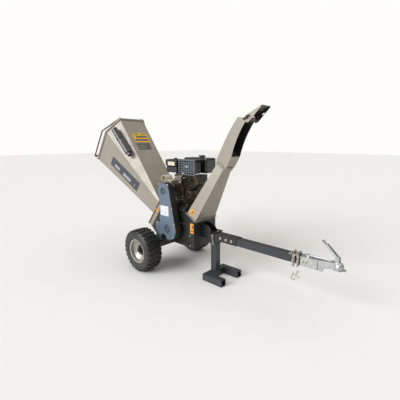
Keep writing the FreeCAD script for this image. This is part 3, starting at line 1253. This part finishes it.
def recoil_cover():
    """Flywheel shroud and recoil starter cover on the far side."""
    shroud = cut(cyl_y(CRANK_X, CRANK_Z, SHROUD_RADIUS, ENGINE_FAR, 214), cyl_y(CRANK_X, CRANK_Z, SHROUD_RADIUS - 4, ENGINE_FAR - 1, 210))
    starter = cyl_y(CRANK_X, CRANK_Z, 84, 210, 232)
    starter = cut(starter, cyl_y(CRANK_X, CRANK_Z, 80, 205, 229))
    vents = []
    for i in range(10):
        a = 36 * i
        vents.append(in_frame(box(38, 70, 226, 240, -4, 4), CRANK_X, CRANK_Z, a))
    nose = box(CRANK_X + 60, CRANK_X + 112, 212, 232, CRANK_Z + 40, CRANK_Z + 66)
    rope_hole = cyl_z(CRANK_X + 92, 222, 4, CRANK_Z + 30, CRANK_Z + 70)
    duct = box(270, 340, ENGINE_FAR + 2, 204, 820, 905)
    duct = cut(duct, box(274, 336, ENGINE_FAR, 200, 824, 901), cyl_y(CRANK_X, CRANK_Z, SHROUD_RADIUS - 4, 100, 210))
    shaft_hole = cyl_y(CRANK_X, CRANK_Z, 20, 205, 212)
    return cut(fuse([shroud, starter, nose, duct]), rope_hole, shaft_hole, *vents)


RECOIL_TRAVEL = 50.0


def recoil_handle():
    """Pull handle with the first length of its rope, which runs down inside the cover."""
    x = CRANK_X + 92
    z = CRANK_Z + 66 + MOVING_GAP
    rope = cyl_z(x, 222, 2.5, z - 58, z + 4)
    grip = box(x - 10, x + 10, 215, 243, z, z + 20)
    grip = grip.makeFillet(6, grip.Edges)
    return fuse([rope, grip])


def engine_switch():
    """Rotary ignition switch knob on the shroud's control box."""
    y = SWITCH_FACE - MOVING_GAP
    dial = cyl_y(SWITCH_X, SWITCH_Z, 13, y - 8, y)
    bar = box(SWITCH_X - 4, SWITCH_X + 4, y - 16, y - 7, SWITCH_Z - 12, SWITCH_Z + 12)
    return fuse([dial, bar])


SWITCH_X = 345.0
SWITCH_Z = 740.0
SWITCH_FACE = -64.0


def switch_box():
    """Ignition switch box on the front of the crankcase."""
    body = box(296, SWITCH_X + 27, SWITCH_FACE, 30, SWITCH_Z - 35, SWITCH_Z + 35)
    return body.makeFillet(4, body.Edges)


def oil_dipstick():
    y = ENGINE_NEAR - MOVING_GAP
    knob = cyl_y(DIPSTICK_X, DIPSTICK_Z, 15, y - 12, y)
    grip = box(DIPSTICK_X - 14, DIPSTICK_X + 14, y - 22, y - 11, DIPSTICK_Z - 3, DIPSTICK_Z + 3)
    spigot = cyl_y(DIPSTICK_X, DIPSTICK_Z, 9, y - 1, ENGINE_NEAR + 10)
    return fuse([knob, grip, spigot])


# ---------------------------------------------------------------- write the parts
NODES = {
    "tyre_left": tyre(1), "tyre_right": tyre(-1), "rim_left": rim(1), "rim_right": rim(-1),
    "hub_left": hub(1), "hub_right": hub(-1), "axle_beam": axle_beam(),
    "side_plate_left": side_plate(1), "side_plate_right": side_plate(-1), "casing_shell": casing_shell(),
    "housing_bolts": housing_bolts(), "rotor_scroll": rotor_scroll(), "anvil_blade": anvil_blade(),
    "engine_deck": engine_deck(), "infeed_collar": infeed_collar(), "flange_gasket": flange_gasket(),
    "hopper_shell": hopper_shell(), "hopper_rim": hopper_rim(), "stop_bar": stop_bar(),
    "manual_tube": manual_tube(), "tube_cap": tube_cap(),
    "lower_chute": lower_chute(), "upper_chute": upper_chute(), "deflector_flap": deflector_flap(),
    "flap_wing_nut": flap_wing_nut(),
    "rotor_shaft": rotor_shaft(), "rotor_drum": rotor_drum(), "chipping_knives": chipping_knives(),
    "drum_pulley": drum_pulley(), "crank_pulley": crank_pulley(), "drive_belts": drive_belts(),
    "idler_pulley": idler_pulley(),
    "belt_guard_box": belt_guard_box(), "belt_guard_cover": belt_guard_cover(), "bearing_units": bearing_units(),
    "stand_sleeve": stand_sleeve(), "stand_leg": stand_leg(), "stand_pin": stand_pin(),
    "tow_receiver": tow_receiver(), "tow_bar": tow_bar(), "tow_bolts": tow_bolts(),
    "coupling_body": coupling_body(), "coupling_lever": coupling_lever(), "safety_chains": safety_chains(),
    "engine_block": engine_block(), "cylinder_head": cylinder_head(), "crankshaft": crankshaft(),
    "fuel_tank": fuel_tank(), "fuel_cap": fuel_cap(), "air_cleaner": air_cleaner(), "carburettor": carburettor(),
    "throttle_lever": throttle_lever(), "muffler": muffler(), "muffler_guard": muffler_guard(),
    "exhaust_shield": exhaust_shield(), "recoil_cover": recoil_cover(), "recoil_handle": recoil_handle(),
    "engine_switch": engine_switch(), "oil_dipstick": oil_dipstick(),
}

FRONT_X = max(shape.BoundBox.XMax for shape in NODES.values())
REAR_X = min(shape.BoundBox.XMin for shape in NODES.values())
ORIGIN_X = (FRONT_X + REAR_X) / 2

os.makedirs("parts", exist_ok=True)
for name, shape in NODES.items():
    shape.translated(V(-ORIGIN_X, 0, 0)).exportStep("parts/" + name + ".step")
    state = "" if shape.isValid() else "  NOT VALID"
    print(name, len(shape.Solids), round(shape.Volume / 1000), "cm3" + state)
print("nodes", len(NODES), "axle to origin", round(ORIGIN_X, 3))
